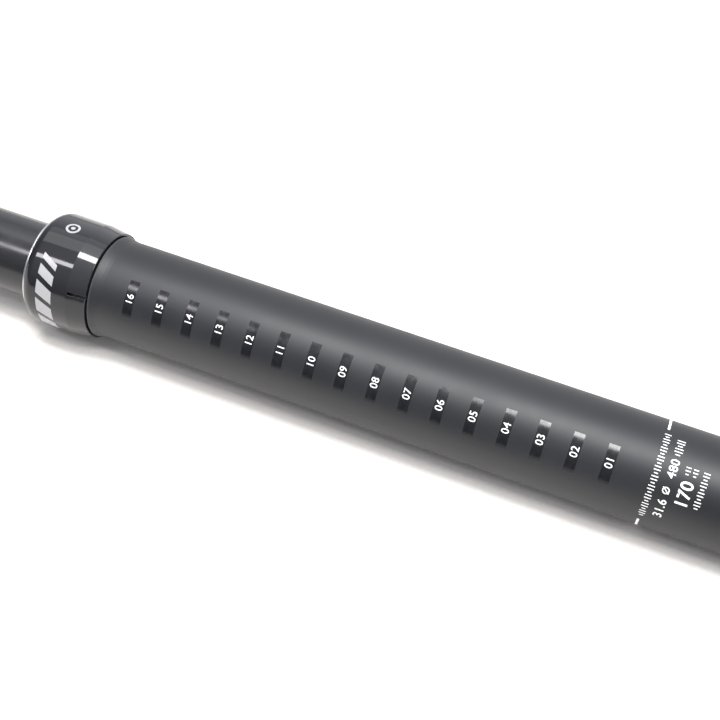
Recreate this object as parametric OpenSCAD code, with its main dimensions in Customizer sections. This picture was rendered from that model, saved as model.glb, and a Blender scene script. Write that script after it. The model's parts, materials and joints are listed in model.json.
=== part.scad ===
// Dropper seatpost: a telescoping bicycle seatpost with a sealed gas cartridge, a cable-pulled
// release lever at the foot and a two-bolt saddle rail clamp at the head.
// The post's axis is Z with the saddle end up, +X points to the front of the bicycle.
// The origin is on the axis where the seat tube diameter begins, just under the collar.
// All sizes are in millimetres.

/* [Post] */
// Outside diameter that goes into the frame's seat tube
post_d = 31.6; // [31.6:0.1:31.8]
// Length from the foot of the actuator to the centre of the saddle rails
total_length = 480; // [480:1:490]
// How far the stanchion drops
travel = 170; // [165:1:170]

/* [Collar] */
// Largest outside diameter of the collar
collar_d = 36.5; // [36:0.1:37]
// Height of the collar
collar_h = 22.5; // [22:0.1:24]

/* [Stanchion] */
// Outside diameter of the stanchion
stanchion_d = 25; // [24.8:0.1:25.4]
// Wall thickness of the stanchion
stanchion_wall = 1.8; // [1.7:0.05:1.9]

/* [Saddle clamp] */
// Distance between the centres of the two saddle rails
rail_spacing = 44; // [43:0.5:45]
// Diameter of a round saddle rail
rail_d = 7; // [6.9:0.1:7.2]
// Length of the jaws along the rails
jaw_length = 38; // [34:1:40]
// Distance of each clamp bolt from the post's axis
bolt_x = 18.5; // [18.4:0.1:19]

/* [Actuator] */
// Distance of the lever's pivot from the post's axis
pivot_x = 4; // [4:0.1:4.4]
// Distance of the cable from the post's axis
cable_x = 9.6; // [9.5:0.1:9.8]

/* [Hidden] */
$fn = 64;
cut = 0.5;            // how far a cutting solid runs past the face that it opens

// Collar and the top of the outer tube
shoulder_h = 3.6;     // flare above the seat tube diameter
shoulder_r = 16.5;
oring_section_r = 0.25;
collar_z = shoulder_h + 2 * oring_section_r;
collar_r = collar_d / 2;
collar_top = collar_z + collar_h;
neck_r = 15.2;        // threaded neck that the collar screws onto
neck_top = 16;
thread_gap = 0.05;

// Outer tube
post_r = post_d / 2;
bore_r = 14.1;
keyway_r = 14.9;
keyway_w = 3.5;
key_count = 3;

// Stanchion and its head, at full extension
stanchion_r = stanchion_d / 2;
stanchion_bore_r = stanchion_r - stanchion_wall;
head_z = collar_top + travel + 1.9;
rail_z = head_z + 28;
base_z = rail_z - total_length;
tube_bottom = base_z + 21;
plug_h = 5.5;
plug_top = tube_bottom + plug_h;
stanchion_bottom = plug_top + 1.5 + travel;
running = 0.04;       // radial clearance of a sliding bush

// Upper bush, bumper, keys and lower bush, counted from the stanchion's lower end
upper_bush_z = -12.5;
upper_bush_top = 14;
bumper_top = upper_bush_z - 0.3;
key_z = stanchion_bottom + 25;
key_h = 12;
key_w = 3.2;
key_in_r = stanchion_r - 0.95;
key_out_r = keyway_r - 0.15;
lower_bush_z = stanchion_bottom + 5;
lower_bush_h = 14;
bush_seat_r = stanchion_r - 0.4;

// Gas cartridge
cartridge_r = 10;
cylinder_r = 8.5;
rod_r = 4;
rod_neck_r = 3;
pin_bore_r = 1.35;
pin_r = 1.27;
end_nut_h = 10;
cartridge_z = stanchion_bottom + end_nut_h;
gland_top = cartridge_z + 11;
piston_z = gland_top + 1;
piston_h = 7;
piston_r = cylinder_r - 0.08;
seal_groove_r = cylinder_r - 0.9;
seal_h = 2;
head_bore_top = head_z + 5.5;
cap_z = head_bore_top - 18.5;
cap_plug_h = 6;
float_z = piston_z + 146;
float_h = 10;
rattle_ring_z = 70;

// Saddle clamp
arc_r = 18.5;         // round underside of the cradle, about the tilt axis
arc_gap = 0.2;
head_top = rail_z - 14;
head_r = 13.8;
lug_w = 17;
seat_z = head_z + 4.5;        // swivel axis of the half-round washers
washer_r = 5.2;
washer_w = 11;
seat_gap = 0.15;
bolt_r = 2.5;
bolt_head_r = 4.25;
bolt_head_h = 5;
bolt_top = rail_z + 17;
socket_af = 4;
nut_z = rail_z + 9.5;
nut_r = 5;
nut_w = 16;
jaw_gap = 0.6;        // from the rail's centre plane to each jaw
jaw_side = 6;         // from the rail's axis to the jaw's outer side
bridge_y = 16;
rail_y = rail_spacing / 2;
rail_r = rail_d / 2;

// Actuator
pivot_z = base_z + 13;
pivot_r = 1.5;
lever_gap = 0.05;
lever_w = 6;
slot_w = 6.6;
nose_r = 1.4;
boss_r = 2.6;
lever_end_r = 3.3;
barrel_r = 2.3;
cable_r = 0.8;
housing_r = 2.55;
housing_depth = 4.5;
floor_top = base_z + 6.7;
base_r = 13.8;
flange_r = 15.6;
flange_h = 2.2;
rod_nut_af = 10;
rod_nut_h = 4.4;
rod_nut_z = plug_top - 5 - rod_nut_h - 0.1;

// ---- Shared shapes ----

// A plain ring about the Z axis
module ring(inner, outer, z0, z1) {
    translate([0, 0, z0])
        difference() {
            cylinder(r = outer, h = z1 - z0);
            translate([0, 0, -cut])
                cylinder(r = inner, h = z1 - z0 + 2 * cut);
        }
}

// A solid turned about the Z axis from a half profile
module turned(profile) {
    rotate_extrude($fn = 96)
        polygon(profile);
}

// A cylinder along Y, centred on its length
module cross_cylinder(x, z, r, w) {
    translate([x, 0, z])
        rotate([90, 0, 0])
            cylinder(r = r, h = w, center = true);
}

// A box given by its corners
module box(low, high) {
    translate(low)
        cube([high[0] - low[0], high[1] - low[1], high[2] - low[2]]);
}

// The children turned to each key's place
module at_keys() {
    for (k = [0 : key_count - 1])
        rotate([0, 0, 60 + k * 360 / key_count])
            children();
}

// The children at the front and mirrored to the rear
module front_and_rear() {
    children();
    mirror([1, 0, 0])
        children();
}

// Points of an arc in a profile, from angle a0 to a1
function arc(cx, cy, r, a0, a1, steps) =
    [for (i = [0 : steps]) let (a = a0 + (a1 - a0) * i / steps) [cx + r * cos(a), cy + r * sin(a)]];

// ---- Outer tube and collar ----

module outer_tube() {
    color("#3c3e42")
        difference() {
            turned([
                [bore_r, tube_bottom], [post_r - 0.5, tube_bottom], [post_r, tube_bottom + 0.5],
                [post_r, 0], [post_r + 0.1, 1.2], [shoulder_r - 0.1, 3.2],
                [shoulder_r, 3.35], [shoulder_r, shoulder_h], [neck_r, shoulder_h],
                [neck_r, neck_top - 0.5],
                [neck_r - 0.5, neck_top], [bore_r, neck_top]
            ]);
            at_keys()
                box([0, -keyway_w / 2, tube_bottom - cut], [keyway_r, keyway_w / 2, upper_bush_z - 2]);
        }
}

module collar() {
    taper_top = collar_z + 6.2;
    edge_z = collar_top - 3.9;
    rim_r = collar_r - 2.25;
    color("#101114")
        difference() {
            turned(concat(
                [
                    [neck_r + thread_gap, collar_z], [collar_r - 1.2, collar_z],
                    [collar_r - 1.02, collar_z + 0.18], [collar_r - 0.1, taper_top],
                    [collar_r, collar_z + 17]
                ],
                arc(collar_r - 4.2, edge_z, 4.2, 0, 44, 8),
                [
                    [rim_r, collar_top - 0.45], [rim_r - 0.3, collar_top], [15, collar_top],
                    [15, collar_top - 5.7], [14.7, collar_top - 5.7], [14.7, neck_top + 0.4],
                    [neck_r + thread_gap, neck_top + 0.4]
                ]
            ));
            // shallow slots for a hook spanner in the tapered foot
            for (k = [0 : 2])
                rotate([0, 0, 14 + k * 120])
                    box([collar_r - 1.65, -0.5, collar_z - cut], [collar_r + cut, 0.5, taper_top - 0.3]);
        }
}

module collar_oring() {
    color("#080808")
        rotate_extrude($fn = 96)
            translate([shoulder_r - 0.7, shoulder_h + oring_section_r])
                circle(r = oring_section_r, $fn = 24);
}

module wiper_seal() {
    z0 = collar_top - 5.6;
    color("#151515")
        turned([
            [stanchion_r + 0.5, z0], [14.95, z0], [14.95, collar_top], [14.3, collar_top + 0.1],
            [stanchion_r + 0.45, collar_top + 0.5], [stanchion_r + running, collar_top + 0.3],
            [stanchion_r + running, collar_top - 0.4], [stanchion_r + 0.6, collar_top - 1.6]
        ]);
}

module foam_ring() {
    color("#6b6458")
        ring(stanchion_r + 0.06, 14.65, collar_top - 7.7, collar_top - 5.75);
}

module inner_seal() {
    z0 = neck_top + 0.45;
    color("#26384a")
        turned([
            [stanchion_r + 0.5, z0], [14.65, z0], [14.65, z0 + 2.3], [14.1, z0 + 2.3],
            [13.8, z0 + 1.1], [stanchion_r + 0.45, z0 + 1.1], [stanchion_r + 0.4, z0 + 2.3],
            [stanchion_r + running, z0 + 2.2], [stanchion_r + running, z0 + 1.7]
        ]);
}

module upper_bushing() {
    color("#8a7f6a")
        ring(stanchion_r + running, bore_r - 0.02, upper_bush_z, upper_bush_top);
}

// ---- Actuator at the foot ----

module actuator_base() {
    color("#2a2c30")
        difference() {
            union() {
                translate([0, 0, tube_bottom])
                    cylinder(r = bore_r - 0.08, h = plug_h);
                translate([0, 0, tube_bottom - flange_h])
                    cylinder(r = flange_r, h = flange_h);
                translate([0, 0, base_z + 1])
                    cylinder(r = base_r, h = tube_bottom - base_z - 1);
                translate([0, 0, base_z])
                    cylinder(r1 = base_r - 1, r2 = base_r, h = 1);
            }
            // rod hole and the pocket of its nut
            translate([0, 0, rod_nut_z - 10])
                cylinder(r = rod_neck_r + 0.05, h = 40);
            translate([0, 0, floor_top])
                cylinder(r = rod_nut_af / 2 + 1.4, h = plug_top - 5 - floor_top);
            // lever slot, open to the front and under the push rod
            box([-6, -slot_w / 2, floor_top], [post_r, slot_w / 2, pivot_z + 3.6]);
            box([-6, -slot_w / 2, base_z - cut], [5, slot_w / 2, floor_top + cut]);
            // pivot pin hole
            cross_cylinder(pivot_x, pivot_z, pivot_r + 0.02, 2 * post_r);
            // cable housing socket and the hole for the inner cable
            translate([cable_x, 0, base_z - cut])
                cylinder(r = housing_r, h = housing_depth + cut);
            translate([cable_x, 0, base_z])
                cylinder(r = cable_r, h = floor_top - base_z + cut);
            // flats for a pin spanner at both sides
            for (side = [-1, 1])
                translate([0, side * (base_r + 2.4), base_z + 5])
                    cube([12, 8, 12], center = true);
        }
}

module pivot_pin() {
    color("#b8bcc0")
        cross_cylinder(pivot_x, pivot_z, pivot_r, 23);
}

module rod_nut() {
    color("#c0c4c8")
        translate([0, 0, rod_nut_z])
            difference() {
                cylinder(r = rod_nut_af / 2 / cos(30), h = rod_nut_h, $fn = 6);
                translate([0, 0, -cut])
                    cylinder(r = rod_neck_r + 0.03, h = rod_nut_h + 2 * cut);
            }
}

// Outline of the lever in its own plane: nose, pivot boss and cable end
module lever_outline() {
    circle(r = nose_r);
    translate([pivot_x, 0])
        circle(r = boss_r);
    translate([cable_x, 0])
        circle(r = lever_end_r);
    polygon([
        [0, -nose_r], [pivot_x, -boss_r], [cable_x, -lever_end_r],
        [cable_x, lever_end_r], [pivot_x, boss_r], [0, nose_r]
    ]);
}

module actuator_lever() {
    color("#9aa0a6")
        difference() {
            translate([0, lever_w / 2, pivot_z])
                rotate([90, 0, 0])
                    linear_extrude(lever_w)
                        lever_outline();
            cross_cylinder(pivot_x, pivot_z, pivot_r + lever_gap, lever_w + 2 * cut);
            cross_cylinder(cable_x, pivot_z, barrel_r + lever_gap, lever_w + 2 * cut);
            // the cable's way into the barrel, open at the end of the lever
            box([cable_x - 1.2, -1.1, pivot_z - 4], [cable_x + 4, 1.1, pivot_z + 4]);
        }
}

module cable_barrel() {
    color("#c9a552")
        difference() {
            cross_cylinder(cable_x, pivot_z, barrel_r, lever_w);
            translate([cable_x, 0, pivot_z - 4])
                cylinder(r = cable_r, h = 8);
            translate([cable_x, cable_r + 0.3, pivot_z])
                rotate([-90, 0, 0])
                    cylinder(r = 1.25, h = lever_w);
        }
}

module cable_grub_screw() {
    color("#303030")
        translate([cable_x, cable_r + 0.35, pivot_z])
            rotate([-90, 0, 0])
                difference() {
                    cylinder(r = 1.2, h = 1.7);
                    translate([0, 0, 0.8])
                        cylinder(r = 0.75, h = 2, $fn = 6);
                }
}

// ---- Gas cartridge ----

module cartridge_rod() {
    color("#c8ccd0")
        difference() {
            turned([
                [0, rod_nut_z - 0.8], [rod_neck_r, rod_nut_z - 0.8], [rod_neck_r, plug_top],
                [rod_r, plug_top], [rod_r, piston_z], [rod_neck_r, piston_z],
                [rod_neck_r, piston_z + piston_h - 1], [0, piston_z + piston_h - 1]
            ]);
            translate([0, 0, base_z])
                cylinder(r = pin_bore_r, h = total_length);
        }
}

module valve_pin() {
    foot = pivot_z + nose_r + 0.25;
    seat = piston_z + piston_h - 0.8;
    color("#d8dade")
        turned([
            [0, foot], [0.4, foot], [pin_r, foot + 0.9], [pin_r, seat], [2.4, seat],
            [2.4, seat + 2.6], [0, seat + 2.6]
        ]);
}

module main_piston() {
    groove_z = piston_z + 2.5;
    color("#a8783c")
        difference() {
            turned([
                [rod_neck_r + 0.03, piston_z], [piston_r, piston_z], [piston_r, groove_z],
                [seal_groove_r, groove_z], [seal_groove_r, groove_z + seal_h + 0.1],
                [piston_r, groove_z + seal_h + 0.1], [piston_r, piston_z + piston_h],
                [rod_neck_r + 0.03, piston_z + piston_h]
            ]);
            // oil ports
            for (a = [0 : 90 : 270])
                rotate([0, 0, a])
                    translate([5.4, 0, piston_z - cut])
                        cylinder(r = 0.8, h = piston_h + 2 * cut);
        }
}

module piston_seal() {
    color("#1c3c30")
        ring(seal_groove_r + 0.02, cylinder_r - 0.03, piston_z + 2.55, piston_z + 2.55 + seal_h);
}

module cartridge_body() {
    color("#44474c")
        ring(cylinder_r, cartridge_r, cartridge_z, cap_z + cap_plug_h);
}

module rod_gland() {
    color("#b0905a")
        ring(rod_r + 0.05, cylinder_r - 0.02, cartridge_z + 0.5, gland_top);
}

module end_nut() {
    color("#5a5e64")
        difference() {
            ring(rod_r + 0.3, stanchion_bore_r - 0.08, stanchion_bottom - 0.4, cartridge_z - 0.1);
            // slots for a pin spanner
            for (a = [0, 180])
                rotate([0, 0, a])
                    box([6.2, -1.5, stanchion_bottom - 1], [9.4, 1.5, stanchion_bottom + 2]);
        }
}

module cartridge_cap() {
    flange_z = cap_z + cap_plug_h;
    color("#6a6e74")
        difference() {
            turned([
                [0, cap_z], [cylinder_r - 0.03, cap_z], [cylinder_r - 0.03, flange_z],
                [stanchion_bore_r - 0.2, flange_z], [stanchion_bore_r - 0.2, flange_z + 5],
                [6, flange_z + 7], [6, head_bore_top - 0.1], [0, head_bore_top - 0.1]
            ]);
            translate([0, 0, head_bore_top - 8])
                cylinder(r = 2.05, h = 9);
        }
}

module fill_screw() {
    color("#b8bcc0")
        difference() {
            translate([0, 0, head_bore_top - 7.9])
                cylinder(r = 2, h = 7);
            translate([0, 0, head_bore_top - 3])
                cylinder(r = 1.15, h = 3, $fn = 6);
        }
}

module rattle_ring() {
    color("#181818")
        ring(cartridge_r + 0.02, stanchion_bore_r - 0.03, rattle_ring_z, rattle_ring_z + 5);
}

module floating_piston() {
    groove_z = float_z + 4;
    color("#a8abb0")
        turned([
            [0, float_z], [piston_r, float_z], [piston_r, groove_z], [seal_groove_r, groove_z],
            [seal_groove_r, groove_z + seal_h + 0.1], [piston_r, groove_z + seal_h + 0.1],
            [piston_r, float_z + float_h], [5, float_z + float_h], [4.5, float_z + 3],
            [0, float_z + 3]
        ]);
}

module floating_piston_seal() {
    color("#1c1c1c")
        ring(seal_groove_r + 0.02, cylinder_r - 0.03, float_z + 4.05, float_z + 4.05 + seal_h);
}

// ---- Stanchion and what slides with it ----

module stanchion() {
    color("#16171a")
        difference() {
            union() {
                turned([
                    [0, stanchion_bottom], [stanchion_r - 0.5, stanchion_bottom],
                    [stanchion_r, stanchion_bottom + 0.5], [stanchion_r, head_z],
                    [head_r, head_z + 4], [head_r, head_top + 2], [0, head_top + 2]
                ]);
                // lugs that the clamp bolts pull on
                for (side = [-1, 1])
                    translate([side * bolt_x, 0, seat_z])
                        cylinder(d = lug_w, h = head_top - seat_z);
                box([-bolt_x, -lug_w / 2, seat_z], [bolt_x, lug_w / 2, head_top]);
            }
            // bore for the cartridge, and a vent into it
            translate([0, 0, stanchion_bottom - cut])
                cylinder(r = stanchion_bore_r, h = head_bore_top - stanchion_bottom + cut);
            translate([0, 0, head_bore_top - cut])
                cylinder(r = 1.5, h = 20);
            // seat of the lower bush
            ring(bush_seat_r, stanchion_r + 1, lower_bush_z - 0.05,
                 lower_bush_z + lower_bush_h + 0.05);
            // pockets of the keys
            at_keys()
                box([key_in_r - 0.05, -key_w / 2 - 0.05, key_z - 0.05],
                    [stanchion_r + 1, key_w / 2 + 0.05, key_z + key_h + 0.05]);
            // round trough that the cradle tilts in
            cross_cylinder(0, rail_z, arc_r + arc_gap, 3 * head_r);
            // bolt slots and the seats of the half-round washers
            front_and_rear() {
                cross_cylinder(bolt_x, seat_z, washer_r + seat_gap, washer_w + 0.4);
                box([bolt_x - bolt_r - 1.1, -bolt_r - 0.5, seat_z],
                    [bolt_x + bolt_r + 1.1, bolt_r + 0.5, rail_z]);
            }
        }
}

module lower_bushing() {
    color("#d8d4c8")
        difference() {
            ring(bush_seat_r + 0.05, bore_r - 0.05, lower_bush_z, lower_bush_z + lower_bush_h);
            // the slit that lets it snap over the stanchion
            box([0, -0.6, lower_bush_z - cut], [bore_r + 1, 0.6, lower_bush_z + lower_bush_h + cut]);
        }
}

module key(k) {
    color("#c9a552")
        rotate([0, 0, 60 + (k - 1) * 360 / key_count])
            box([key_in_r, -key_w / 2, key_z], [key_out_r, key_w / 2, key_z + key_h]);
}

module topout_bumper() {
    color("#202020")
        ring(stanchion_r + 0.05, bore_r - 0.1, key_z + key_h + 0.15, bumper_top);
}

// ---- Saddle clamp ----

// A jaw block beside one rail, from the bridge to its outer side, between two heights
module jaw(z0, z1) {
    box([-jaw_length / 2, bridge_y - 1, z0], [jaw_length / 2, rail_y + jaw_side, z1]);
}

// The round groove of one rail
module rail_groove() {
    translate([0, rail_y, rail_z])
        rotate([0, 90, 0])
            cylinder(r = rail_r, h = jaw_length + 2 * cut, center = true);
}

module lower_cradle() {
    core_x = 13.6;
    top = rail_z - jaw_gap;
    color("#1a1b1e")
        difference() {
            union() {
                intersection() {
                    cross_cylinder(0, rail_z, arc_r, 2 * head_r - 0.6);
                    box([-core_x, -bridge_y, rail_z - 2 * arc_r], [core_x, bridge_y, top]);
                }
                box([-core_x, -bridge_y, rail_z - 7.5], [core_x, bridge_y, top]);
                for (side = [0, 1])
                    mirror([0, side, 0])
                        jaw(rail_z - 7.5, top);
            }
            for (side = [0, 1])
                mirror([0, side, 0])
                    rail_groove();
            // lightening pocket between the rails
            box([-8.5, -9, rail_z - 11], [8.5, 9, rail_z]);
            // chamfers under the outer edges of the jaws
            for (side = [-1, 1])
                translate([0, side * (rail_y + jaw_side), rail_z - 7.5])
                    rotate([45, 0, 0])
                        cube([jaw_length + 2, 4, 4], center = true);
        }
}

module upper_clamp() {
    bar_x = bolt_x + 6;
    bar_y = 9;
    jaw_top = rail_z + 6.4;
    color("#1a1b1e")
        difference() {
            union() {
                for (side = [0, 1])
                    mirror([0, side, 0])
                        jaw(rail_z + jaw_gap, jaw_top);
                box([-jaw_length / 2 + 3, -bridge_y, rail_z + 2], [jaw_length / 2 - 3, bridge_y, jaw_top]);
                box([-bar_x, -bar_y, rail_z + 2], [bar_x, bar_y, nut_z]);
            }
            for (side = [0, 1])
                mirror([0, side, 0])
                    rail_groove();
            front_and_rear() {
                // seat of the barrel nut and the slot that its bolt leans in
                cross_cylinder(bolt_x, nut_z, nut_r + seat_gap, 2 * bar_y + 2);
                box([bolt_x - bolt_r - 1.6, -bolt_r - 0.5, rail_z],
                    [bolt_x + bolt_r + 1.6, bolt_r + 0.5, nut_z + 1]);
            }
            // the middle of the bar is lower than its ends
            box([-bolt_x + 8.5, -bar_y - 1, jaw_top + 0.6], [bolt_x - 8.5, bar_y + 1, nut_z + 1]);
            // chamfers along the outer edges of the jaws
            for (side = [-1, 1])
                translate([0, side * (rail_y + jaw_side), jaw_top])
                    rotate([45, 0, 0])
                        cube([jaw_length + 2, 4.6, 4.6], center = true);
        }
}

module barrel_nut() {
    color("#b4b8bc")
        difference() {
            cross_cylinder(bolt_x, nut_z, nut_r, nut_w);
            translate([bolt_x, 0, nut_z - 2 * nut_r])
                cylinder(r = bolt_r + 0.2, h = 4 * nut_r);
        }
}

module clamp_bolt() {
    color("#26282b")
        translate([bolt_x, 0, 0])
            difference() {
                union() {
                    translate([0, 0, seat_z])
                        cylinder(r = bolt_r, h = bolt_top - seat_z - 0.5);
                    translate([0, 0, bolt_top - 0.5])
                        cylinder(r1 = bolt_r, r2 = bolt_r - 0.5, h = 0.5);
                    translate([0, 0, seat_z - bolt_head_h + 0.5])
                        cylinder(r = bolt_head_r, h = bolt_head_h - 0.5);
                    translate([0, 0, seat_z - bolt_head_h])
                        cylinder(r1 = bolt_head_r - 0.5, r2 = bolt_head_r, h = 0.5);
                }
                translate([0, 0, seat_z - bolt_head_h - cut])
                    cylinder(r = socket_af / 2 / cos(30), h = 3 + cut, $fn = 6);
            }
}

module half_washer() {
    color("#8e9296")
        difference() {
            intersection() {
                cross_cylinder(bolt_x, seat_z, washer_r, washer_w);
                box([bolt_x - washer_r, -washer_w, seat_z], [bolt_x + washer_r, washer_w, rail_z]);
            }
            translate([bolt_x, 0, seat_z - cut])
                cylinder(r = bolt_r + 0.15, h = 2 * washer_r);
        }
}

module to_rear() {
    mirror([1, 0, 0])
        children();
}

outer_tube();
collar();
collar_oring();
wiper_seal();
foam_ring();
inner_seal();
upper_bushing();
actuator_base();
rod_nut();
cartridge_rod();
main_piston();
piston_seal();
pivot_pin();
actuator_lever();
cable_barrel();
cable_grub_screw();
valve_pin();
stanchion();
lower_bushing();
key(1);  // key_1
key(2);  // key_2
key(3);  // key_3
topout_bumper();
end_nut();
cartridge_body();
rod_gland();
cartridge_cap();
fill_screw();
rattle_ring();
floating_piston();
floating_piston_seal();
lower_cradle();
upper_clamp();
barrel_nut();  // front_barrel_nut
to_rear() barrel_nut();  // rear_barrel_nut
clamp_bolt();  // front_bolt
to_rear() clamp_bolt();  // rear_bolt
half_washer();  // front_washer
to_rear() half_washer();  // rear_washer
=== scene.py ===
"""Looks for the telescoping bicycle seatpost: materials, markings, bolts, floor, lights and camera."""

import json
import math

import bmesh
import bpy
from mathutils import Matrix, Vector


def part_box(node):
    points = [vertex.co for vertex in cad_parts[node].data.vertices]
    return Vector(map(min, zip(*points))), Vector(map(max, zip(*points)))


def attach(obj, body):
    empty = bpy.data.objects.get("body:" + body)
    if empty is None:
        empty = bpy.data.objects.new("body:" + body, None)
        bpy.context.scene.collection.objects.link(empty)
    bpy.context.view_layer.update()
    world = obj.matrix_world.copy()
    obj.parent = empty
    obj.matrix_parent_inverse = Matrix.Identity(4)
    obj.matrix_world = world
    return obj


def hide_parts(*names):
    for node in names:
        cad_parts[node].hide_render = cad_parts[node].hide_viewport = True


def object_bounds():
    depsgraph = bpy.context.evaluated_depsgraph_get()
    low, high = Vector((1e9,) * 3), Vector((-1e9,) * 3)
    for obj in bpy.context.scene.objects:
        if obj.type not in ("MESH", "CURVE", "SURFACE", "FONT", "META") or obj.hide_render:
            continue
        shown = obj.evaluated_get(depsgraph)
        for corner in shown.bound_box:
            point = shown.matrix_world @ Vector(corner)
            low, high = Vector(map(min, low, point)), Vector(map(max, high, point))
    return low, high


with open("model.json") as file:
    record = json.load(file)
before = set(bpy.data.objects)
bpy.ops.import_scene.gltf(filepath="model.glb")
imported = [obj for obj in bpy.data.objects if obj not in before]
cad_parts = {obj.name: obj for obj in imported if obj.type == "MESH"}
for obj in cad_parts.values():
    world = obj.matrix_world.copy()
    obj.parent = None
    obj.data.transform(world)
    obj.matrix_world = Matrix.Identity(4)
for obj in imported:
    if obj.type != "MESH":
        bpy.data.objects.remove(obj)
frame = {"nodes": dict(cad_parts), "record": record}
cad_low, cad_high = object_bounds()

MM = 0.001
NODES = frame["nodes"]
MOUNTS = {mount["name"]: mount for mount in frame["record"]["mounts"]}

# The post, from the frame. Its axis is Z, and the origin is where the seat tube diameter begins.
POST_R = MOUNTS["insertion"]["dims"]["r_mm"] * MM
COLLAR_LOW, COLLAR_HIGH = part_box("collar")
COLLAR_R = COLLAR_HIGH.x
SCALE_SIDE = -90.0      # azimuth of the side that carries the depth scale, in degrees

# Depth scale: one mark each 10 mm, numbered from 16 under the collar down to 01
MARK_COUNT = 16
MARK_PITCH = 10 * MM
FIRST_MARK_Z = -9.5 * MM
STRIP_HEIGHT = 3.15 * MM
STRIP_HALF_ANGLE = 21.0
DIGIT_HEIGHT = 2.25 * MM
LIMIT_Z = FIRST_MARK_Z - 162.45 * MM


# ---- Small helpers ----

def radial(azimuth, radius, z):
    """The point at this azimuth (degrees), radius and height on the post."""
    a = math.radians(azimuth)
    return Vector((radius * math.cos(a), radius * math.sin(a), z))


def direction(azimuth, elevation):
    """The unit vector at this azimuth and elevation, in degrees."""
    a, e = math.radians(azimuth), math.radians(elevation)
    return Vector((math.cos(a) * math.cos(e), math.sin(a) * math.cos(e), math.sin(e)))


def facing_matrix(at, right, up, back):
    """Places a light or a camera here, with these three directions as its own axes."""
    return Matrix.Translation(at) @ Matrix((right, up, back)).transposed().to_4x4()


def mesh_object(name, vertices, faces, material, smooth=True):
    """A new mesh object made of these vertices and faces."""
    mesh = bpy.data.meshes.new(name)
    mesh.from_pydata([tuple(v) for v in vertices], [], faces)
    mesh.update()
    mesh.materials.append(material)
    made = bpy.data.objects.new(name, mesh)
    bpy.context.collection.objects.link(made)
    for face in mesh.polygons:
        face.use_smooth = smooth
    return made


def ring_faces(around):
    """Faces of a flat ring whose vertices come as inner and outer pairs."""
    pairs = [(i, (i + 1) % around) for i in range(around)]
    return [(2 * i, 2 * i + 1, 2 * j + 1, 2 * j) for i, j in pairs]


def outward(made, sharp_angle, weld=None):
    """Turns an object's faces outward and keeps edges over this angle sharp."""
    work = bmesh.new()
    work.from_mesh(made.data)
    if weld:
        bmesh.ops.remove_doubles(work, verts=work.verts[:], dist=weld)
    bmesh.ops.recalc_face_normals(work, faces=work.faces[:])
    work.to_mesh(made.data)
    work.free()
    made.data.set_sharp_from_angle(angle=math.radians(sharp_angle))


def merged(name, parts, material):
    """Joins mesh objects into one smooth object with one material."""
    low = bmesh.new()
    for part in parts:
        low.from_mesh(part.data)
        bpy.data.meshes.remove(part.data)
    mesh = bpy.data.meshes.new(name)
    low.to_mesh(mesh)
    low.free()
    mesh.materials.clear()
    mesh.materials.append(material)
    for face in mesh.polygons:
        face.use_smooth = True
    made = bpy.data.objects.new(name, mesh)
    bpy.context.collection.objects.link(made)
    return made


# ---- Materials ----

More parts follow.
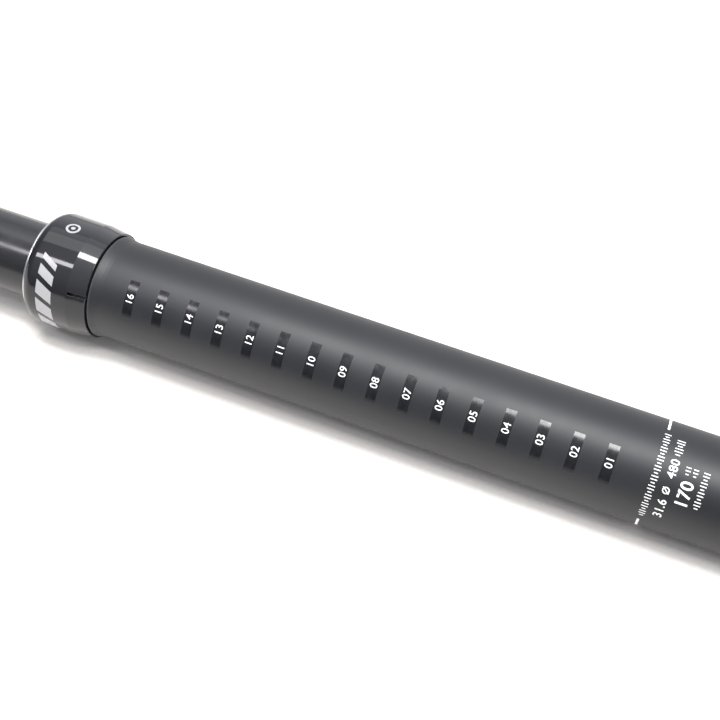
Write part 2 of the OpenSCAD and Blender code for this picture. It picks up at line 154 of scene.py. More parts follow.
class Shader:
    """One procedural material: its Principled BSDF, and short ways to add nodes to it."""

    def __init__(self, name, colour, **sockets):
        self.material = bpy.data.materials.new(name)
        self.material.use_nodes = True
        self.tree = self.material.node_tree
        self.surface = self.tree.nodes["Principled BSDF"]
        self.put(self.surface.inputs["Base Color"], (*colour, 1))
        for key, value in sockets.items():
            self.put(self.surface.inputs[key.replace("_", " ")], value)
        coordinates = self.tree.nodes.new("ShaderNodeTexCoord")
        self.millimetres = self.add(
            "Mapping", {"Vector": coordinates.outputs["Object"], "Scale": (1000, 1000, 1000)}
        ).outputs[0]

    def put(self, socket, value):
        """Joins a socket to another one, or sets it to a plain value."""
        if isinstance(value, bpy.types.NodeSocket):
            self.tree.links.new(value, socket)
        else:
            socket.default_value = value

    def add(self, kind, inputs=None, **settings):
        """A new node of this kind, with its settings and its inputs by name."""
        node = self.tree.nodes.new("ShaderNode" + kind)
        for key, value in settings.items():
            setattr(node, key, value)
        for key, value in (inputs or {}).items():
            self.put(node.inputs[key], value)
        return node

    def noise(self, per_mm, detail=4.0, roughness=0.55, stretch=(1, 1, 1)):
        """Noise with this many features per millimetre, drawn out along an axis of small stretch."""
        mapped = self.add("Mapping", {"Vector": self.millimetres, "Scale": stretch}).outputs[0]
        node = self.add(
            "TexNoise",
            {"Vector": mapped, "Scale": per_mm, "Detail": detail, "Roughness": roughness},
        )
        return node.outputs["Fac"]

    def span(self, value, low, high, to_low, to_high):
        """Maps value from low..high to to_low..to_high, and clamps it there."""
        node = self.add(
            "MapRange",
            {"Value": value, "From Min": low, "From Max": high, "To Min": to_low, "To Max": to_high},
        )
        return node.outputs["Result"]

    def maths(self, operation, a, b):
        """One step of arithmetic."""
        node = self.add("Math", operation=operation)
        self.put(node.inputs[0], a)
        self.put(node.inputs[1], b)
        return node.outputs[0]

    def blend(self, factor, a, b):
        """Colour a where factor is 0, and b where it is 1."""
        node = self.add("Mix", data_type="RGBA")
        self.put(node.inputs["Factor"], factor)
        self.put(node.inputs["A"], (*a, 1) if isinstance(a, tuple) and len(a) == 3 else a)
        self.put(node.inputs["B"], (*b, 1) if isinstance(b, tuple) and len(b) == 3 else b)
        return node.outputs["Result"]

    def edges(self, radius_mm, low=0.003, high=0.05):
        """1 along sharp edges and 0 on open faces."""
        rounded = self.add("Bevel", {"Radius": radius_mm * MM}, samples=6).outputs["Normal"]
        true = self.add("NewGeometry").outputs["Normal"]
        across = self.add("VectorMath", {0: rounded, 1: true}, operation="DOT_PRODUCT").outputs["Value"]
        return self.span(self.maths("SUBTRACT", 1.0, across), low, high, 0, 1)

    def bump(self, *layers, soft_edge_mm=None):
        """Stacks (height, depth in mm) layers into the surface normal."""
        normal = None
        if soft_edge_mm:
            normal = self.add("Bevel", {"Radius": soft_edge_mm * MM}, samples=6).outputs["Normal"]
        for height, depth in layers:
            node = self.add("Bump", {"Height": height, "Distance": depth * MM, "Strength": 1.0})
            if normal is not None:
                self.put(node.inputs["Normal"], normal)
            normal = node.outputs["Normal"]
        self.put(self.surface.inputs["Normal"], normal)

    def colour(self, value):
        self.put(self.surface.inputs["Base Color"], value)

    def rough(self, value):
        self.put(self.surface.inputs["Roughness"], value)


def matte_anodised(name):
    """Bead-blasted black anodising: even grain, faint clouds, light rubbing along the post."""
    s = Shader(name, (0.008, 0.009, 0.011), Specular_IOR_Level=0.40)
    grain = s.noise(3.2, detail=3)
    cloud = s.noise(0.05, detail=3)
    rubbed = s.span(s.noise(1.3, detail=2, stretch=(1, 1, 0.02)), 0.66, 0.74, 0, 1)
    patch = s.span(s.noise(0.035, detail=2), 0.52, 0.68, 0, 1)
    rubbed = s.maths("MULTIPLY", rubbed, patch)
    worn = s.maths("MULTIPLY", s.edges(0.35), 0.5)
    base = s.blend(s.span(cloud, 0.3, 0.7, 0, 1), (0.0066, 0.0074, 0.0096), (0.0100, 0.0108, 0.0132))
    base = s.blend(s.maths("MULTIPLY", rubbed, 0.35), base, (0.05, 0.05, 0.052))
    s.colour(s.blend(worn, base, (0.10, 0.10, 0.105)))
    s.rough(s.maths("SUBTRACT", s.span(cloud, 0.3, 0.7, 0.46, 0.52), s.maths("MULTIPLY", rubbed, 0.1)))
    s.bump((grain, 0.010), (s.noise(9.0, detail=1), 0.003), soft_edge_mm=0.15)
    return s.material


def gloss_anodised(name, edge_wear=0.35, along=0.012, polish=(0.11, 0.18)):
    """Polished black anodising with hairline marks along the post and a slightly uneven shine."""
    s = Shader(name, (0.008, 0.008, 0.010))
    smear = s.noise(0.09, detail=4)
    hair = s.span(s.noise(2.6, detail=2, stretch=(1, 1, along)), 0.70, 0.74, 0, 1)
    dust = s.span(s.noise(2.2, detail=1), 0.735, 0.78, 0, 1)
    base = s.blend(s.maths("MULTIPLY", hair, 0.12), (0.008, 0.008, 0.010), (0.06, 0.06, 0.064))
    base = s.blend(s.maths("MULTIPLY", dust, 0.10), base, (0.20, 0.195, 0.185))
    s.colour(s.blend(s.maths("MULTIPLY", s.edges(0.22), edge_wear), base, (0.16, 0.16, 0.165)))
    s.rough(s.maths("ADD", s.span(smear, 0.35, 0.7, *polish), s.maths("MULTIPLY", hair, 0.10)))
    s.bump((smear, 0.002), (hair, -0.001), soft_edge_mm=0.12)
    return s.material


def forged_black(name):
    """Satin black anodising over a forged surface: soft dimples, worn corners."""
    s = Shader(name, (0.02, 0.02, 0.022))
    dimple = s.noise(0.9, detail=3)
    cloud = s.noise(0.12, detail=3)
    base = s.blend(s.span(cloud, 0.3, 0.7, 0, 1), (0.016, 0.0165, 0.018), (0.024, 0.0245, 0.027))
    nicks = s.maths("MULTIPLY", s.edges(0.3), s.span(s.noise(0.7, detail=5), 0.42, 0.62, 0.1, 0.9))
    s.colour(s.blend(nicks, base, (0.17, 0.17, 0.175)))
    s.rough(s.maths("SUBTRACT", s.span(cloud, 0.3, 0.7, 0.36, 0.46), s.maths("MULTIPLY", nicks, 0.1)))
    s.bump((dimple, 0.02), (s.noise(5.0, detail=2), 0.004), soft_edge_mm=0.3)
    return s.material


def machined(name, colour, roughness=0.28, stretch=(1, 1, 18), metallic=1.0):
    """Turned metal: fine rings about the axis, a little stain and bright edges."""
    s = Shader(name, colour, Metallic=metallic)
    rings = s.noise(0.9, detail=3, stretch=stretch)
    stain = s.noise(0.15, detail=4)
    dark = tuple(c * 0.72 for c in colour)
    bright = tuple(min(1.0, c * 1.25 + 0.04) for c in colour)
    base = s.blend(s.span(stain, 0.45, 0.75, 0, 1), colour, dark)
    s.colour(s.blend(s.maths("MULTIPLY", s.edges(0.2), 0.6), base, bright))
    s.rough(s.span(rings, 0.3, 0.7, roughness * 0.75, roughness * 1.3))
    s.bump((rings, 0.004), soft_edge_mm=0.1)
    return s.material


def rubber(name, colour=(0.012, 0.012, 0.012)):
    """Moulded rubber: dull, faintly grained, with a bloom of dust."""
    s = Shader(name, colour, Specular_IOR_Level=0.35)
    bloom = s.noise(0.3, detail=5)
    light = tuple(c * 1.8 + 0.008 for c in colour)
    s.colour(s.blend(s.span(bloom, 0.45, 0.7, 0, 0.7), colour, light))
    s.rough(s.span(bloom, 0.3, 0.7, 0.58, 0.75))
    s.bump((s.noise(2.5, detail=3), 0.008), soft_edge_mm=0.08)
    return s.material


def foam(name):
    """Open-cell foam, dark with grease, its pits darkened with painted shade."""
    s = Shader(name, (0.10, 0.09, 0.07), Sheen_Weight=0.2)
    cells = s.add("TexVoronoi", {"Vector": s.millimetres, "Scale": 3.0}).outputs["Distance"]
    # Painted shade: the colour darkens into the cells' pits, just where the bump sinks
    s.colour(s.blend(s.span(cells, 0.0, 0.5, 0, 1), (0.03, 0.027, 0.02), (0.15, 0.13, 0.10)))
    s.rough(s.span(s.noise(0.4), 0.3, 0.7, 0.45, 0.85))
    s.bump((cells, 0.12))
    return s.material


def polymer(name, colour):
    """Bearing plastic: waxy, with faint moulding flow."""
    s = Shader(name, colour, Specular_IOR_Level=0.4)
    flow = s.noise(0.5, detail=3, stretch=(1, 1, 0.3))
    dark = tuple(c * 0.8 for c in colour)
    s.colour(s.blend(s.span(flow, 0.4, 0.7, 0, 1), colour, dark))
    s.rough(s.span(flow, 0.3, 0.7, 0.38, 0.55))
    s.bump((s.noise(3.0), 0.004), soft_edge_mm=0.08)
    return s.material


def screen_print(name, colour, roughness=0.45):
    """Thin opaque ink: slightly uneven cover and a fine grain."""
    s = Shader(name, colour)
    cover = s.noise(3.5, detail=3)
    thin = tuple(c * 0.82 for c in colour)
    s.colour(s.blend(s.span(cover, 0.5, 0.75, 0, 1), colour, thin))
    s.rough(s.span(cover, 0.3, 0.7, roughness * 0.85, roughness * 1.15))
    s.bump((cover, 0.003))
    return s.material


def strip_gloss(name):
    """The scale's glossy strips, where the blasted tube was masked off."""
    s = Shader(name, (0.004, 0.004, 0.005), Specular_IOR_Level=0.38)
    smear = s.noise(0.6, detail=3)
    s.colour(s.blend(s.span(smear, 0.4, 0.7, 0, 1), (0.0030, 0.0030, 0.0042), (0.0060, 0.0060, 0.0075)))
    s.rough(s.span(smear, 0.3, 0.7, 0.13, 0.22))
    s.bump((smear, 0.002))
    return s.material


MATERIALS = {
    "matte_black_tube": matte_anodised("matte_black_anodised"),
    "gloss_black_collar": gloss_anodised("gloss_black_collar", edge_wear=0.12, polish=(0.05, 0.09)),
    "gloss_black_stanchion": gloss_anodised(
        "gloss_black_stanchion", edge_wear=0.2, along=0.006, polish=(0.18, 0.26)
    ),
    "black_forged_clamp": forged_black("satin_black_forging"),
    "grey_machined": machined("grey_hard_anodised", (0.12, 0.125, 0.135), 0.34, metallic=0.7),
    "clear_machined": machined("clear_anodised", (0.58, 0.59, 0.61), 0.27),
    "steel": machined("zinc_plated_steel", (0.55, 0.555, 0.56), 0.24, stretch=(1, 4, 1)),
    "black_steel": machined("black_oxide_steel", (0.045, 0.046, 0.05), 0.33, metallic=0.8),
    "polished_rod": machined("ground_chrome", (0.70, 0.70, 0.72), 0.10),
    "brass": machined("machined_brass", (0.66, 0.45, 0.17), 0.26),
    "black_rubber": rubber("nitrile_rubber"),
    "blue_seal": rubber("polyurethane_seal", (0.02, 0.05, 0.10)),
    "grease_foam": foam("greased_foam"),
    "bush_polymer": polymer("bearing_polymer", (0.62, 0.60, 0.53)),
    "bush_metal": polymer("dry_bearing_liner", (0.28, 0.25, 0.20)),
}
INK = screen_print("scale_ink", (0.74, 0.74, 0.73))
PALE_INK = screen_print("graphic_ink", (0.31, 0.31, 0.32), 0.32)
STRIP = strip_gloss("scale_strip_gloss")

SLOTS = {part["node"]: part["material_slot"] for part in frame["record"]["subparts"]}
for node_name, node in NODES.items():
    node.data.materials.clear()
    node.data.materials.append(MATERIALS[SLOTS[node_name]])


# ---- Rounded edges on the machined and forged pieces ----

# Node and the width of its edge rounding, in millimetres
ROUNDED = {
    "lower_cradle": 0.6,
    "upper_clamp": 0.28,
    "stanchion": 0.25,
    "front_washer": 0.12,
    "rear_washer": 0.12,
    "actuator_base": 0.3,
    "actuator_lever": 0.2,
    "cable_barrel": 0.15,
    "rattle_ring": 0.15,
}


def round_edges(node_name, width):
    """Welds a node's mesh, joins its flat triangles into whole faces, and rounds the sharp edges."""
    node = NODES[node_name]
    weld = node.modifiers.new("weld", "WELD")
    weld.merge_threshold = 0.001 * MM
    flat = node.modifiers.new("flat_faces", "DECIMATE")
    flat.decimate_type = "DISSOLVE"
    flat.angle_limit = math.radians(0.4)
    bevel = node.modifiers.new("rounding", "BEVEL")
    bevel.width = width * MM
    bevel.segments = 3
    bevel.limit_method = "ANGLE"
    bevel.angle_limit = math.radians(34)
    bevel.use_clamp_overlap = False
    bevel.harden_normals = True
    node.modifiers.new("even_normals", "WEIGHTED_NORMAL").keep_sharp = True


for node_name, width in ROUNDED.items():
    round_edges(node_name, width)


# ---- Markings on the outer tube ----

def wrapped(name, outline_object, centre_azimuth, centre_z, radius):
    """Bends a flat mesh in its XY plane round the post: X runs round it and Y up it."""
    mesh = outline_object.data
    work = bmesh.new()
    work.from_mesh(mesh)
    bmesh.ops.triangulate(work, faces=work.faces[:])
    for vertex in work.verts:
        azimuth = centre_azimuth + math.degrees(vertex.co.x / radius)
        vertex.co = radial(azimuth, radius, centre_z + vertex.co.y)
    work.to_mesh(mesh)
    work.free()
    outline_object.name = name
    return outline_object


def flat_text(characters, height, weight):
    """A flat mesh of these characters, centred, of this height and extra stroke weight."""
    curve = bpy.data.curves.new("characters", "FONT")
    curve.body = characters
    curve.size = height / 0.70
    curve.offset = height * weight
    curve.space_character = 1.06
    curve.align_x = "CENTER"
    curve.align_y = "CENTER"
    curve.resolution_u = 4
    writer = bpy.data.objects.new("writer", curve)
    bpy.context.collection.objects.link(writer)
    bpy.context.view_layer.update()
    mesh = bpy.data.meshes.new_from_object(writer)
    bpy.data.objects.remove(writer)
    made = bpy.data.objects.new("flat_" + characters, mesh)
    xs = [v.co.x for v in mesh.vertices]
    ys = [v.co.y for v in mesh.vertices]
    middle = Vector(((min(xs) + max(xs)) / 2, (min(ys) + max(ys)) / 2, 0))
    mesh.transform(Matrix.Translation(-middle))
    return made


def curved_patch(name, azimuth, half_angle, z, height, radius, material, steps=24):
    """A thin curved rectangle on the post."""
    vertices = []
    for i in range(steps + 1):
        along = azimuth - half_angle + 2 * half_angle * i / steps
        vertices.append(radial(along, radius, z - height / 2))
        vertices.append(radial(along, radius, z + height / 2))
    faces = [(2 * i, 2 * i + 2, 2 * i + 3, 2 * i + 1) for i in range(steps)]
    return mesh_object(name, vertices, faces, material)


STRIP_LIFT = 0.02 * MM
INK_LIFT = 0.035 * MM
INK_R = POST_R + INK_LIFT
STRIP_SHIFT = -2.0      # the strips' middle, in degrees from the scale's side
DIGIT_SHIFT = -1.0
DIGIT_WEIGHT = 0.008


def number(characters, azimuth, z, height, weight):
    """A number printed on the tube at this azimuth from the scale's side."""
    return wrapped("number", flat_text(characters, height, weight), SCALE_SIDE + azimuth, z, INK_R)


def ticks(start, end, count, z, height, half_width=0.55):
    """A row of fine upright ticks between two azimuths, every third one shorter."""
    made = []
    for i in range(count):
        azimuth = start + (end - start) * i / (count - 1)
        tall = height if i % 3 else height * 0.6
        made.append(
            curved_patch("tick", SCALE_SIDE + azimuth, half_width, z, tall, INK_R, INK, steps=2)
        )
    return made


def diameter_sign(azimuth, z, size, weight):
    """A ring with a slash through it, printed on the tube."""
    vertices, around = [], 40
    for i in range(around):
        a = 2 * math.pi * i / around
        for radius in (size / 2 - weight, size / 2):
            vertices.append((radius * math.cos(a), radius * math.sin(a), 0))
    ring = mesh_object("ring", vertices, ring_faces(around), INK)
    half, thin = size * 0.62, weight / 2
    corners = [(-half, -thin, 0), (half, -thin, 0), (half, thin, 0), (-half, thin, 0)]
    slash = mesh_object("slash", corners, [(0, 1, 2, 3)], INK)
    slash.data.transform(Matrix.Rotation(math.radians(48), 4, "Z"))
    sign = merged("sign", [ring, slash], INK)
    return wrapped("diameter_sign", sign, SCALE_SIDE + azimuth, z, INK_R)


strips = []
digits = []
for i in range(MARK_COUNT):
    z = FIRST_MARK_Z - i * MARK_PITCH
    strips.append(
        curved_patch(
            f"strip_{i}", SCALE_SIDE + STRIP_SHIFT, STRIP_HALF_ANGLE, z, STRIP_HEIGHT,
            POST_R + STRIP_LIFT, STRIP,
        )
    )
    digits.append(number(f"{MARK_COUNT - i:02d}", DIGIT_SHIFT, z, DIGIT_HEIGHT, DIGIT_WEIGHT))
scale_strips = merged("scale_strips", strips, STRIP)
scale_digits = merged("scale_digits", digits, INK)

# Insertion limit: a line round the tube, with plain ticks where its wording would be, and the
# post's own sizes in millimetres below it: tube diameter, length and travel
LINE_TURN = 181.5       # the line's middle, in degrees from the scale's side
LINE_HALF_ANGLE = 123.5
LINE_HEIGHT = 0.7 * MM
SIZES_Z = LIMIT_Z - 4.3 * MM
TRAVEL_Z = LIMIT_Z - 9.2 * MM
SIZE_HEIGHT = 2.45 * MM
SIZE_WEIGHT = 0.018
# Rows of ticks: first and last azimuth, count, distance below the line and height in millimetres
TICK_ROWS = (
    (-46, 50, 29, 0.3, 1.9),
    (30, 47, 6, 4.3, 2.3),
    (14, 21, 3, 8.2, 1.4),
    (14, 21, 3, 10.3, 1.4),
    (-16, 21, 12, 13.3, 1.8),
)
limit_parts = [
    curved_patch(
        "line", SCALE_SIDE + LINE_TURN, LINE_HALF_ANGLE, LIMIT_Z, LINE_HEIGHT, INK_R, INK, steps=96
    ),
    number("31.6", -29, SIZES_Z, SIZE_HEIGHT, SIZE_WEIGHT),
    diameter_sign(-8, SIZES_Z, 2.1 * MM, 0.33 * MM),
    number("480", 15, SIZES_Z, SIZE_HEIGHT, SIZE_WEIGHT),
    number("170", -5, TRAVEL_Z, 3.5 * MM, 0.024),
]
for start, end, count, below, height in TICK_ROWS:
    limit_parts += ticks(start, end, count, LIMIT_Z - below * MM, height * MM)
limit_marking = merged("limit_marking", limit_parts, INK)

for marking in (scale_strips, scale_digits, limit_marking):
    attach(marking, "outer_post")


# ---- Collar: bare rim, and a plain graphic of slanted bars and a ring ----

GRAPHIC_Z = COLLAR_LOW.z + 13.9 * MM
BAR_HEIGHT = 5.4 * MM
BAR_SLANT = 9.0
BARS = ((-66, 8.5), (-44, 8.5), (-23, 7.0), (-5, 5.0), (8.5, 3.0))
RING_AZIMUTH = 51
RING_SIZE = 4.6 * MM
RING_DROP = 1.0 * MM    # the ring's middle lies this far below the bars' middle
COLLAR_TAPER = 0.0093   # loss of radius per unit of height below the taper's start


def collar_radius(z):
    """Radius of the collar's upper side at height z, a hair outside it."""
    taper_start = COLLAR_LOW.z + 17 * MM
    return COLLAR_R + 0.03 * MM - COLLAR_TAPER * max(0.0, taper_start - z)


def on_collar(azimuth, z):
    """The point on the collar's side at this azimuth from the scale's side."""
    return radial(SCALE_SIDE + azimuth, collar_radius(z), z)


def collar_bar(azimuth, half_angle):
    """One slanted bar, following the collar's slight taper."""
    steps, rows = 12, 4
    vertices = []
    for j in range(rows + 1):
        z = GRAPHIC_Z + BAR_HEIGHT * (j / rows - 0.5)
        for i in range(steps + 1):
            lean = BAR_SLANT * (j / rows - 0.5)
            vertices.append(on_collar(azimuth + half_angle * (2 * i / steps - 1) + lean, z))
    row = steps + 1
    faces = [
        (j * row + i, j * row + i + 1, (j + 1) * row + i + 1, (j + 1) * row + i)
        for j in range(rows)
        for i in range(steps)
    ]
    return mesh_object("bar", vertices, faces, PALE_INK)


def collar_ring(azimuth, outer, inner):
    """A flat ring printed on the collar."""
    around = 40
    vertices = []
    for i in range(around):
        a = 2 * math.pi * i / around
        for radius in (inner / 2, outer / 2):
            round_it = math.degrees(radius * math.cos(a) / COLLAR_R)
            z = GRAPHIC_Z - RING_DROP + radius * math.sin(a)
            vertices.append(on_collar(azimuth + round_it, z))
    return mesh_object("ring", vertices, ring_faces(around), PALE_INK)


graphic = []
for turn in (0, 180):
    graphic += [collar_bar(turn + azimuth, half_angle) for azimuth, half_angle in BARS]
    graphic.append(collar_ring(turn + RING_AZIMUTH, RING_SIZE, RING_SIZE * 0.68))
    graphic.append(collar_ring(turn + RING_AZIMUTH, RING_SIZE * 0.3, 0.05 * MM))
collar_graphic = merged("collar_graphic", graphic, PALE_INK)


def turned_ring(name, profile, material, around=160):
    """A ring made by turning a closed profile of (radius, z) points about the post's axis."""
    count = len(profile)
    vertices = [radial(360 * i / around, r, z) for i in range(around) for r, z in profile]
    faces = []
    for i in range(around):
        j = (i + 1) % around
        for k in range(count):
            m = (k + 1) % count
            faces.append((i * count + k, j * count + k, j * count + m, i * count + m))
    made = mesh_object(name, vertices, faces, material)
    outward(made, 35)
    return made


# The collar's mouth ends in a small chamfer that is polished bare.
# Its profile: radius, and height above the collar's top, in millimetres
RIM_PROFILE = (
    (16.10, -0.62),
    (16.15, -0.42),
    (16.06, 0.06),
    (15.86, 0.20),
    (15.62, 0.16),
    (15.60, -0.20),
    (15.80, -0.50),
)
rim_points = [(radius * MM, COLLAR_HIGH.z + above * MM) for radius, above in RIM_PROFILE]
collar_rim = turned_ring("collar_bare_rim", rim_points, MATERIALS["clear_machined"])
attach(collar_rim, "outer_post")

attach(collar_graphic, "outer_post")


# ---- Clamp bolts with real threads ----

THREAD_PITCH = 0.8 * MM
THREAD_DEPTH = 0.42 * MM
THREAD_LENGTH = 22 * MM
SHANK_R = 2.5 * MM
HEAD_HEIGHT = 5 * MM
SOCKET_R = 2.31 * MM
SOCKET_DEPTH = 3 * MM
KNURL_DEPTH = 0.12 * MM
EDGE = 0.45 * MM        # rounding at the head's foot


def threaded_bolt(name, node_name, body):
    """A socket head bolt: knurled head, hex socket, plain shank and a helical thread at its top."""
    low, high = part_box(node_name)
    centre = (low + high) / 2
    head_r = (high.x - low.x) / 2
    head_top = low.z + HEAD_HEIGHT
    thread_start = high.z - THREAD_LENGTH
    around = 48
    floor_z = low.z + SOCKET_DEPTH
    profile = [(0.0, floor_z), (SOCKET_R, floor_z), (SOCKET_R, low.z + 0.25 * MM)]
    profile += [(2.6 * MM, low.z), (head_r - EDGE, low.z), (head_r, low.z + EDGE)]
    knurl_rows = len(profile) - 1
    profile += [(head_r, head_top - 0.35 * MM), (head_r - 0.3 * MM, head_top), (SHANK_R, head_top)]
    profile += [(SHANK_R, thread_start - 1 * MM)]
    thread_from = len(profile)
    step = THREAD_PITCH / 8
    count = int((high.z - 0.4 * MM - thread_start) / step)
    profile += [(SHANK_R, thread_start + k * step) for k in range(count + 1)]
    profile += [(SHANK_R - 0.75 * MM, high.z), (0.0, high.z)]
    vertices = []
    for k, (radius, z) in enumerate(profile):
        for i in range(around):
            turn = i / around
            r = radius
            if 1 <= k <= 2:
                # hexagonal socket
                sector = (turn * 6) % 1 - 0.5
                r = radius * math.cos(math.pi / 6) / math.cos(sector * math.pi / 3)
            if knurl_rows <= k <= knurl_rows + 1 and i % 2:
                r = radius - KNURL_DEPTH
            if thread_from <= k <= thread_from + count:
                phase = (z / THREAD_PITCH - turn) % 1
                grow = min(1.0, (z - thread_start) / (1.5 * MM), (high.z - z) / (1 * MM))
                r = radius - THREAD_DEPTH * max(0.0, grow) * (1 - abs(2 * phase - 1))
            a = 2 * math.pi * turn
            vertices.append((centre.x + r * math.cos(a), centre.y + r * math.sin(a), z))
    faces = []
    for k in range(len(profile) - 1):
        for i in range(around):
            j = (i + 1) % around
            lower, upper = k * around, (k + 1) * around
            faces.append((lower + i, lower + j, upper + j, upper + i))
    bolt = mesh_object(name, vertices, faces, MATERIALS["black_steel"])
    outward(bolt, 38, weld=1e-7)
    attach(bolt, body)
    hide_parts(node_name)
    return bolt


threaded_bolt("front_bolt_threaded", "front_bolt", "front_clamp_bolt")
threaded_bolt("rear_bolt_threaded", "rear_bolt", "rear_clamp_bolt")


# ---- Floor, lights and camera ----

# The azimuth that the floor faces. The tube and the collar lie on it, and it drops away under the clamp.
FLOOR_FACING = -45.0
FLOOR_REACH = 4.0       # half the floor's width and length, in metres
FLOOR_GAP = 0.05 * MM
DROP_FROM = 70 * MM     # heights on the post between which the floor drops
DROP_TO = 205 * MM
PAPER = (0.665, 0.64, 0.61)
PAPER_CLOUD = (0.63, 0.605, 0.575)
PAPER_GRAIN = (0.59, 0.56, 0.53)
# Far colour of the paper: painted shade, a painted falloff of the light away from the post
PAPER_FAR_PAINTED_SHADE = (0.45, 0.44, 0.43)


def pale_surface(name):
    """Plain pale paper, faintly mottled, with painted shade that darkens it away from the post. From
    behind it is clear and lets light through.
    """
    s = Shader(name, (0.80, 0.80, 0.795), Roughness=0.9, Specular_IOR_Level=0.2)
    mottle = s.noise(0.02, detail=6)
    grain = s.span(s.noise(0.9, detail=4), 0.35, 0.65, 0, 1)
    near = s.blend(s.span(mottle, 0.35, 0.7, 0, 1), PAPER, PAPER_CLOUD)
    near = s.blend(s.maths("MULTIPLY", grain, 0.5), near, PAPER_GRAIN)
    # Painted shade: the paper is drawn darker with distance from the post, as a painted falloff of the
    # light
    distance = s.add("VectorMath", {0: s.millimetres}, operation="LENGTH").outputs["Value"]
    s.colour(s.blend(s.span(distance, 450, 1500, 0, 1), near, PAPER_FAR_PAINTED_SHADE))
    s.bump((s.noise(0.8, detail=4), 0.02))
    clear = s.add("BsdfTransparent")
    behind = s.add("NewGeometry").outputs["Backfacing"]
    shadow = s.add("LightPath").outputs["Is Shadow Ray"]
    behind = s.maths("MAXIMUM", behind, shadow)
    output = s.tree.nodes["Material Output"]
    mixed = s.add("MixShader", {0: behind, 1: s.surface.outputs["BSDF"], 2: clear.outputs["BSDF"]})
    s.put(output.inputs["Surface"], mixed.outputs["Shader"])
    return s.material


def smooth_step(value, low, high):
    """0 below low and 1 above high, with an even curve between."""
    t = min(1.0, max(0.0, (value - low) / (high - low)))
    return t * t * (3 - 2 * t)


def sheet_floor(name, material):
    """A pale sheet that the tube and collar lie on, and that drops gently under the wider clamp."""
    facing = radial(FLOOR_FACING, 1.0, 0.0)
    across = facing.cross(Vector((0, 0, 1)))
    points = [(v.co.z, -facing.dot(v.co)) for node in NODES.values() for v in node.data.vertices]
    foot = max((p for p in points if p[0] < cad_low.z + 40 * MM), key=lambda p: p[1])
    neck = max((p for p in points if 0 < p[0] < 100 * MM), key=lambda p: p[1])
    clamp_depth = max(p[1] for p in points if p[0] > 190 * MM)
    slope = (neck[1] - foot[1]) / (neck[0] - foot[0])
    heights = [-FLOOR_REACH, -1.0] + [(60 + 10 * i) * MM for i in range(17)] + [1.0, FLOOR_REACH]
    vertices = []
    for z in heights:
        drop = smooth_step(z, DROP_FROM, DROP_TO)
        line = foot[1] + slope * (z - foot[0])
        depth = line * (1 - drop) + clamp_depth * drop + FLOOR_GAP
        for side in (-FLOOR_REACH, FLOOR_REACH):
            vertices.append(-facing * depth + across * side + Vector((0, 0, z)))
    faces = [(2 * i, 2 * i + 1, 2 * i + 3, 2 * i + 2) for i in range(len(heights) - 1)]
    made = mesh_object(name, vertices, faces, material)
    if made.data.polygons[0].normal.dot(facing) < 0:
        made.data.flip_normals()
    return made


sheet_floor("pale_floor", pale_surface("pale_paper"))


LIT_POINT = Vector((0, 0, -0.06))


def area_light(name, azimuth, elevation, distance, width, length, power, colour=(1, 1, 1)):
    """A soft light in this direction from the scale, facing it, its length along the post."""
    data = bpy.data.lights.new(name, "AREA")
    data.shape = "RECTANGLE"
    data.size = width
    data.size_y = length
    data.energy = power
    data.color = colour
    light = bpy.data.objects.new(name, data)
    bpy.context.collection.objects.link(light)
    away = direction(azimuth, elevation)
    side = direction(azimuth + 90, 0)
    light.matrix_world = facing_matrix(LIT_POINT + away * distance, side, away.cross(side), away)


# Name, azimuth, elevation, distance, width, length, power and colour
LIGHTS = (
    ("key_strip", -48, 3, 1.0, 0.20, 0.70, 12.0),
    ("key_low", -61, -6, 1.0, 0.19, 0.30, 4.6),
    ("thin_strip", -73.5, 29, 1.0, 0.115, 0.34, 1.8, (0.98, 0.94, 1.0)),
    ("side_panel", -30.6, 10, 1.0, 0.39, 1.2, 1.35),
    ("wide_panel", -24, 10, 1.0, 0.64, 1.2, 1.7),
    ("back_strip", 112, 12, 1.2, 0.25, 1.3, 5.0),
    ("back_window", 165, 12, 1.3, 0.6, 1.5, 9.0),
)
for light in LIGHTS:
    area_light(*light)

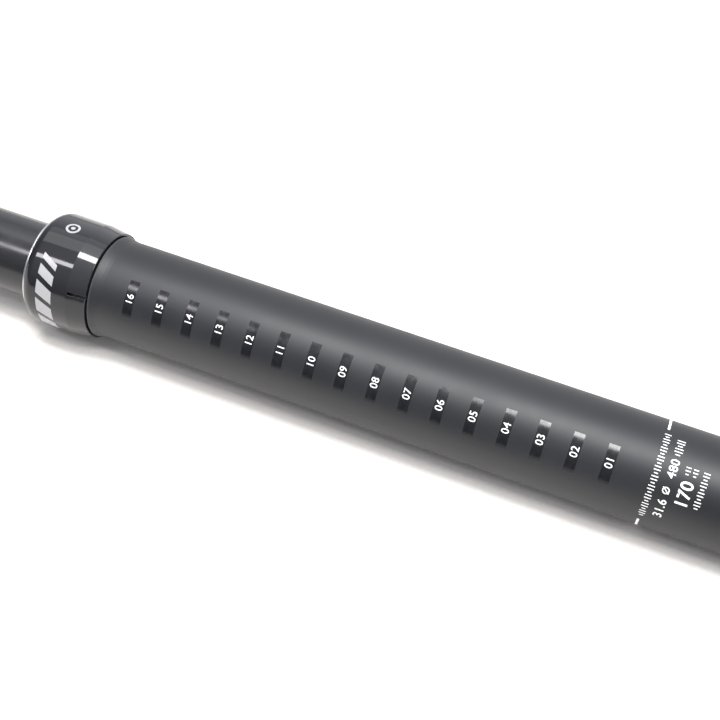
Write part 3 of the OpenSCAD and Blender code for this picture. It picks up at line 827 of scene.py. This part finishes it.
# Soft room light: an even part, and broad lobes (azimuth, elevation, sharpness, strength)
EVEN_LIGHT = 0.22
LOBES = (
    (25, 0, 3, 1.55),
    (-48, 0, 16, 1.3),
    (-75, 0, 3, 1.0),
)


def room_light(name, even, lobes):
    """A world whose brightness is an even part plus broad soft lobes."""
    world = bpy.data.worlds.new(name)
    world.use_nodes = True
    tree = world.node_tree

    def maths(operation, a, b):
        node = tree.nodes.new("ShaderNodeMath")
        node.operation = operation
        for socket, value in zip(node.inputs, (a, b)):
            if isinstance(value, bpy.types.NodeSocket):
                tree.links.new(value, socket)
            else:
                socket.default_value = value
        return node.outputs[0]

    around = tree.nodes.new("ShaderNodeTexCoord").outputs["Generated"]
    total = even
    for azimuth, elevation, sharpness, strength in lobes:
        dot = tree.nodes.new("ShaderNodeVectorMath")
        dot.operation = "DOT_PRODUCT"
        tree.links.new(around, dot.inputs[0])
        dot.inputs[1].default_value = direction(azimuth, elevation)
        lobe = maths("POWER", maths("MAXIMUM", dot.outputs["Value"], 0.0), sharpness)
        total = maths("ADD", maths("MULTIPLY", lobe, strength), total)
    background = tree.nodes["Background"]
    background.inputs["Color"].default_value = (0.95, 0.98, 1.035, 1)
    tree.links.new(total, background.inputs["Strength"])
    return world


bpy.context.scene.world = room_light("studio", EVEN_LIGHT, LOBES)

CAMERA_AT = Vector((35.67, -361.99, -159.89)) * MM
CAMERA_FORWARD = Vector((-0.0873, 0.9727, 0.2150)).normalized()
CAMERA_UP = Vector((0.9488, 0.0154, 0.3156))
CAMERA_SENSOR = 36      # millimetres
CAMERA_LENS = 61.44
camera_data = bpy.data.cameras.new("camera")
camera_data.sensor_width = CAMERA_SENSOR
camera_data.lens = CAMERA_LENS
camera_data.clip_start = 0.01
camera_data.clip_end = 50
camera = bpy.data.objects.new("camera", camera_data)
bpy.context.collection.objects.link(camera)
right = CAMERA_FORWARD.cross(CAMERA_UP).normalized()
up = right.cross(CAMERA_FORWARD)
camera.matrix_world = facing_matrix(CAMERA_AT, right, up, -CAMERA_FORWARD)
bpy.context.scene.camera = camera
bpy.context.scene.view_settings.view_transform = "Standard"
